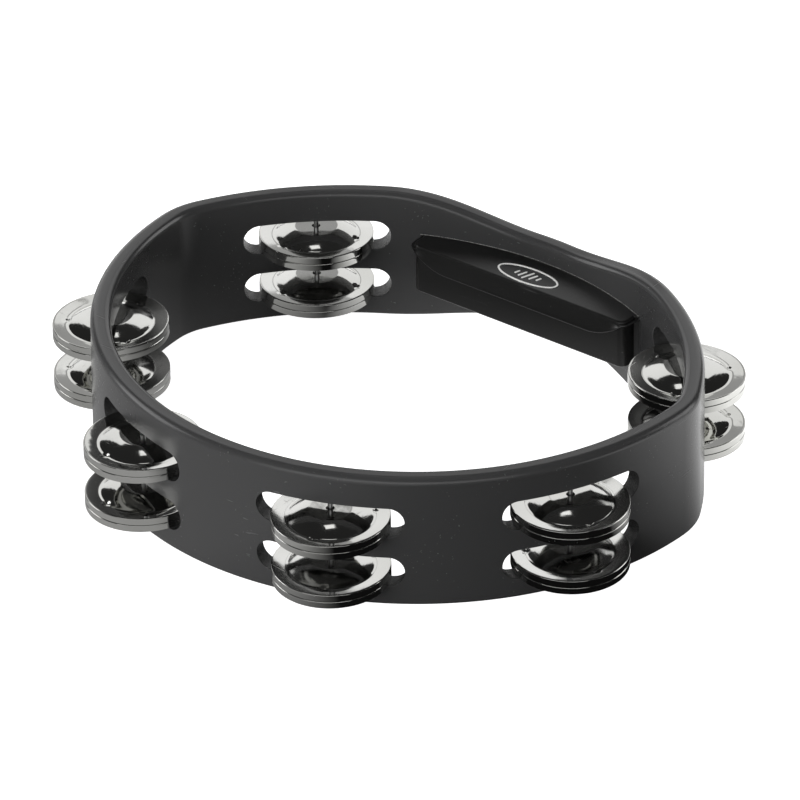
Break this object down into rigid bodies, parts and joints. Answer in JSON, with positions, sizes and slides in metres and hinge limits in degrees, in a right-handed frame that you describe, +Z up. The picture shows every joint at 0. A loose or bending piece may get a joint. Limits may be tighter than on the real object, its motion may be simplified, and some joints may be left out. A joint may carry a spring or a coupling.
{
  "type": "tambourine",
  "caption": "Headless hand tambourine: black moulded ring with a narrowed, padded grip side and two rows of steel jingles on pins.",
  "frame": {"origin": "centre of the whole part's footprint, on the plane that the ring stands on", "axes": "+Z up through the open ring, +Y towards the grip side, +X to the right seen from the front"},
  "size_m": [0.268, 0.2256, 0.0552],
  "materials": {
    "frame_plastic": "semi-gloss",
    "grip_rubber": "satin",
    "white_print": "matte",
    "pin_steel": "satin",
    "jingle_steel": "polished"
  },
  "bodies": {
    "ring": {"frame": "frame_plastic", "grip": "grip_rubber", "badge": "white_print", "pin_1": "pin_steel", "pin_2": "pin_steel", "pin_3": "pin_steel", "pin_4": "pin_steel", "pin_5": "pin_steel", "pin_6": "pin_steel"},
    "jingle_1_lower_bottom": {"jingle_1_lower_bottom": "jingle_steel"},
    "jingle_1_lower_top": {"jingle_1_lower_top": "jingle_steel"},
    "jingle_1_upper_bottom": {"jingle_1_upper_bottom": "jingle_steel"},
    "jingle_1_upper_top": {"jingle_1_upper_top": "jingle_steel"},
    "jingle_2_lower_bottom": {"jingle_2_lower_bottom": "jingle_steel"},
    "jingle_2_lower_top": {"jingle_2_lower_top": "jingle_steel"},
    "jingle_2_upper_bottom": {"jingle_2_upper_bottom": "jingle_steel"},
    "jingle_2_upper_top": {"jingle_2_upper_top": "jingle_steel"},
    "jingle_3_lower_bottom": {"jingle_3_lower_bottom": "jingle_steel"},
    "jingle_3_lower_top": {"jingle_3_lower_top": "jingle_steel"},
    "jingle_3_upper_bottom": {"jingle_3_upper_bottom": "jingle_steel"},
    "jingle_3_upper_top": {"jingle_3_upper_top": "jingle_steel"},
    "jingle_4_lower_bottom": {"jingle_4_lower_bottom": "jingle_steel"},
    "jingle_4_lower_top": {"jingle_4_lower_top": "jingle_steel"},
    "jingle_4_upper_bottom": {"jingle_4_upper_bottom": "jingle_steel"},
    "jingle_4_upper_top": {"jingle_4_upper_top": "jingle_steel"},
    "jingle_5_lower_bottom": {"jingle_5_lower_bottom": "jingle_steel"},
    "jingle_5_lower_top": {"jingle_5_lower_top": "jingle_steel"},
    "jingle_5_upper_bottom": {"jingle_5_upper_bottom": "jingle_steel"},
    "jingle_5_upper_top": {"jingle_5_upper_top": "jingle_steel"},
    "jingle_6_lower_bottom": {"jingle_6_lower_bottom": "jingle_steel"},
    "jingle_6_lower_top": {"jingle_6_lower_top": "jingle_steel"},
    "jingle_6_upper_bottom": {"jingle_6_upper_bottom": "jingle_steel"},
    "jingle_6_upper_top": {"jingle_6_upper_top": "jingle_steel"}
  },
  "joints": [
    {"name": "slide_1_lower_bottom", "type": "slide", "parent": "ring", "child": "jingle_1_lower_bottom", "axis": [0, 0, 1], "range_m": [0, 0.0019]},
    {"name": "slide_1_lower_top", "type": "slide", "parent": "jingle_1_lower_bottom", "child": "jingle_1_lower_top", "axis": [0, 0, 1], "range_m": [0, 0.0019]},
    {"name": "slide_1_upper_bottom", "type": "slide", "parent": "ring", "child": "jingle_1_upper_bottom", "axis": [0, 0, 1], "range_m": [0, 0.0019]},
    {"name": "slide_1_upper_top", "type": "slide", "parent": "jingle_1_upper_bottom", "child": "jingle_1_upper_top", "axis": [0, 0, 1], "range_m": [0, 0.0019]},
    {"name": "slide_2_lower_bottom", "type": "slide", "parent": "ring", "child": "jingle_2_lower_bottom", "axis": [0, 0, 1], "range_m": [0, 0.0019]},
    {"name": "slide_2_lower_top", "type": "slide", "parent": "jingle_2_lower_bottom", "child": "jingle_2_lower_top", "axis": [0, 0, 1], "range_m": [0, 0.0019]},
    {"name": "slide_2_upper_bottom", "type": "slide", "parent": "ring", "child": "jingle_2_upper_bottom", "axis": [0, 0, 1], "range_m": [0, 0.0019]},
    {"name": "slide_2_upper_top", "type": "slide", "parent": "jingle_2_upper_bottom", "child": "jingle_2_upper_top", "axis": [0, 0, 1], "range_m": [0, 0.0019]},
    {"name": "slide_3_lower_bottom", "type": "slide", "parent": "ring", "child": "jingle_3_lower_bottom", "axis": [0, 0, 1], "range_m": [0, 0.0019]},
    {"name": "slide_3_lower_top", "type": "slide", "parent": "jingle_3_lower_bottom", "child": "jingle_3_lower_top", "axis": [0, 0, 1], "range_m": [0, 0.0019]},
    {"name": "slide_3_upper_bottom", "type": "slide", "parent": "ring", "child": "jingle_3_upper_bottom", "axis": [0, 0, 1], "range_m": [0, 0.0019]},
    {"name": "slide_3_upper_top", "type": "slide", "parent": "jingle_3_upper_bottom", "child": "jingle_3_upper_top", "axis": [0, 0, 1], "range_m": [0, 0.0019]},
    {"name": "slide_4_lower_bottom", "type": "slide", "parent": "ring", "child": "jingle_4_lower_bottom", "axis": [0, 0, 1], "range_m": [0, 0.0019]},
    {"name": "slide_4_lower_top", "type": "slide", "parent": "jingle_4_lower_bottom", "child": "jingle_4_lower_top", "axis": [0, 0, 1], "range_m": [0, 0.0019]},
    {"name": "slide_4_upper_bottom", "type": "slide", "parent": "ring", "child": "jingle_4_upper_bottom", "axis": [0, 0, 1], "range_m": [0, 0.0019]},
    {"name": "slide_4_upper_top", "type": "slide", "parent": "jingle_4_upper_bottom", "child": "jingle_4_upper_top", "axis": [0, 0, 1], "range_m": [0, 0.0019]},
    {"name": "slide_5_lower_bottom", "type": "slide", "parent": "ring", "child": "jingle_5_lower_bottom", "axis": [0, 0, 1], "range_m": [0, 0.0019]},
    {"name": "slide_5_lower_top", "type": "slide", "parent": "jingle_5_lower_bottom", "child": "jingle_5_lower_top", "axis": [0, 0, 1], "range_m": [0, 0.0019]},
    {"name": "slide_5_upper_bottom", "type": "slide", "parent": "ring", "child": "jingle_5_upper_bottom", "axis": [0, 0, 1], "range_m": [0, 0.0019]},
    {"name": "slide_5_upper_top", "type": "slide", "parent": "jingle_5_upper_bottom", "child": "jingle_5_upper_top", "axis": [0, 0, 1], "range_m": [0, 0.0019]},
    {"name": "slide_6_lower_bottom", "type": "slide", "parent": "ring", "child": "jingle_6_lower_bottom", "axis": [0, 0, 1], "range_m": [0, 0.0019]},
    {"name": "slide_6_lower_top", "type": "slide", "parent": "jingle_6_lower_bottom", "child": "jingle_6_lower_top", "axis": [0, 0, 1], "range_m": [0, 0.0019]},
    {"name": "slide_6_upper_bottom", "type": "slide", "parent": "ring", "child": "jingle_6_upper_bottom", "axis": [0, 0, 1], "range_m": [0, 0.0019]},
    {"name": "slide_6_upper_top", "type": "slide", "parent": "jingle_6_upper_bottom", "child": "jingle_6_upper_top", "axis": [0, 0, 1], "range_m": [0, 0.0019]}
  ]
}
